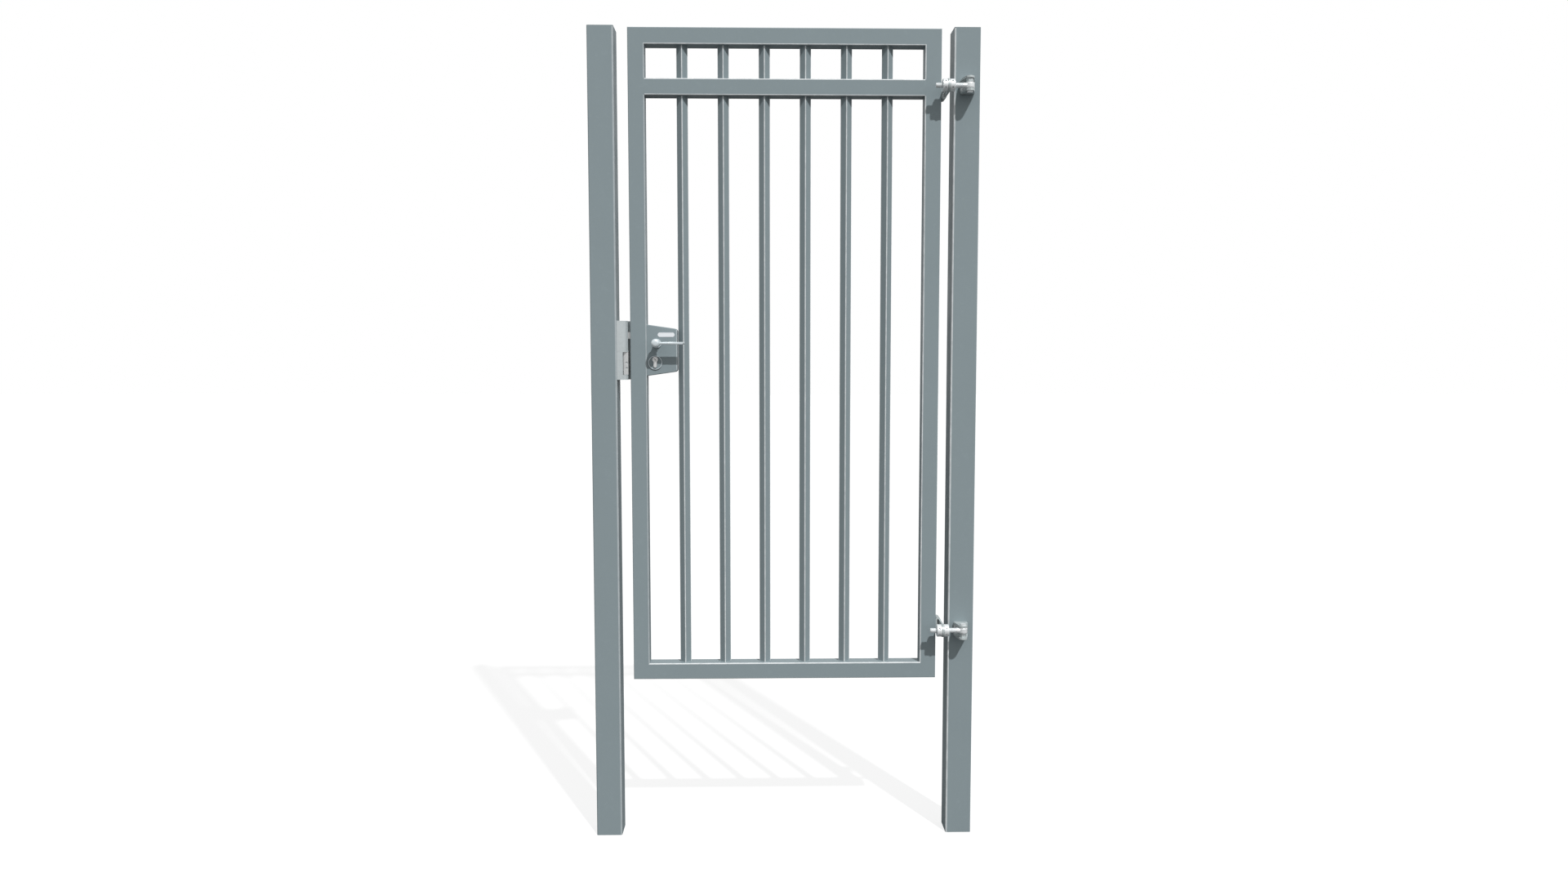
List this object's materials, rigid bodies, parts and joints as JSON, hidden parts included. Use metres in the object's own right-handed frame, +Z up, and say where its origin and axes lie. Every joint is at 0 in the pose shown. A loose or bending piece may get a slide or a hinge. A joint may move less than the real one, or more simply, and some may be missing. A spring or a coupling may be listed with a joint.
{
  "type": "garden gate",
  "caption": "Single-leaf steel garden gate with upright bars between two square posts, adjustable eye-bolt hinges, a lever lock with latch and dead bolts, and a keep.",
  "frame": {"origin": "midway between the two posts, on their centre plane, at their lower ends, where they stand in their footings", "axes": "+X from the latch post to the hinge post, +Y away from the side the leaf opens towards, +Z up"},
  "size_m": [1.19, 0.1688, 2.51],
  "materials": {
    "grey_paint": "satin powder coat",
    "galvanised_steel": "dull galvanised",
    "zinc_steel": "zinc plated",
    "satin_aluminium": "satin anodised",
    "stainless_steel": "satin",
    "bush_nylon": "matte",
    "buffer_rubber": "matte"
  },
  "bodies": {
    "posts": {"latch_post": "grey_paint", "hinge_post": "grey_paint", "latch_post_cap": "grey_paint", "hinge_post_cap": "grey_paint", "upper_hinge_plate": "galvanised_steel", "lower_hinge_plate": "galvanised_steel", "upper_hinge_pin": "zinc_steel", "lower_hinge_pin": "zinc_steel", "hinge_pin_nuts": "galvanised_steel", "hinge_plate_screws": "zinc_steel", "keep_body": "satin_aluminium", "keep_strike": "stainless_steel", "keep_buffer": "buffer_rubber", "keep_screws": "zinc_steel"},
    "leaf": {"bottom_rail": "grey_paint", "cylinder_body": "stainless_steel", "cylinder_rings": "satin_aluminium", "cylinder_roses": "grey_paint", "cylinder_screw": "zinc_steel", "faceplate_screws": "zinc_steel", "hinge_bushes": "bush_nylon", "hinge_stile": "grey_paint", "latch_stile": "grey_paint", "lever_roses": "satin_aluminium", "lever_spring": "zinc_steel", "lock_box": "grey_paint", "lock_faceplate": "stainless_steel", "lock_tray": "zinc_steel", "lock_tray_cover": "zinc_steel", "long_bar_1": "grey_paint", "long_bar_2": "grey_paint", "long_bar_3": "grey_paint", "long_bar_4": "grey_paint", "long_bar_5": "grey_paint", "long_bar_6": "grey_paint", "lower_eye_bolt": "galvanised_steel", "lower_hinge_nuts": "galvanised_steel", "lower_hinge_strap": "galvanised_steel", "mid_rail": "grey_paint", "short_bar_1": "grey_paint", "short_bar_2": "grey_paint", "short_bar_3": "grey_paint", "short_bar_4": "grey_paint", "short_bar_5": "grey_paint", "short_bar_6": "grey_paint", "strap_screws": "zinc_steel", "top_rail": "grey_paint", "upper_eye_bolt": "galvanised_steel", "upper_hinge_nuts": "galvanised_steel", "upper_hinge_strap": "galvanised_steel"},
    "handle": {"front_lever": "satin_aluminium", "back_lever": "satin_aluminium", "spindle": "zinc_steel", "follower": "zinc_steel", "lever_grub_screws": "zinc_steel"},
    "latch_bolt": {"latch_bolt": "stainless_steel"},
    "key_plug": {"cylinder_plugs": "stainless_steel", "cylinder_cam": "zinc_steel"},
    "dead_bolt": {"dead_bolt": "stainless_steel"}
  },
  "joints": [
    {"name": "leaf_swing", "type": "hinge", "parent": "posts", "child": "leaf", "pos_m": [0.555, -0.086, 1.5], "axis": [0, 0, 1], "range_deg": [0, 180]},
    {"name": "lever_turn", "type": "hinge", "parent": "leaf", "child": "handle", "pos_m": [-0.392, -0.015, 1.557], "axis": [0, 1, 0], "range_deg": [0, 35], "stiffness_Nm_per_rad": 1.2, "springref_deg": -28.65, "deforming": ["lever_spring"]},
    {"name": "latch_bolt_slide", "type": "slide", "parent": "leaf", "child": "latch_bolt", "axis": [1, 0, 0], "range_m": [0, 0.012]},
    {"name": "key_turn", "type": "hinge", "parent": "leaf", "child": "key_plug", "pos_m": [-0.397, -0.015, 1.5075], "axis": [0, -1, 0], "range_deg": [0, 100]},
    {"name": "dead_bolt_slide", "type": "slide", "parent": "leaf", "child": "dead_bolt", "axis": [-1, 0, 0], "range_m": [0, 0.02]}
  ],
  "couplings": [
    {"joint": "latch_bolt_slide", "follows": "lever_turn", "m_per_rad": 0.01964},
    {"joint": "key_turn", "follows": "dead_bolt_slide", "rad_per_m": 87.26}
  ]
}
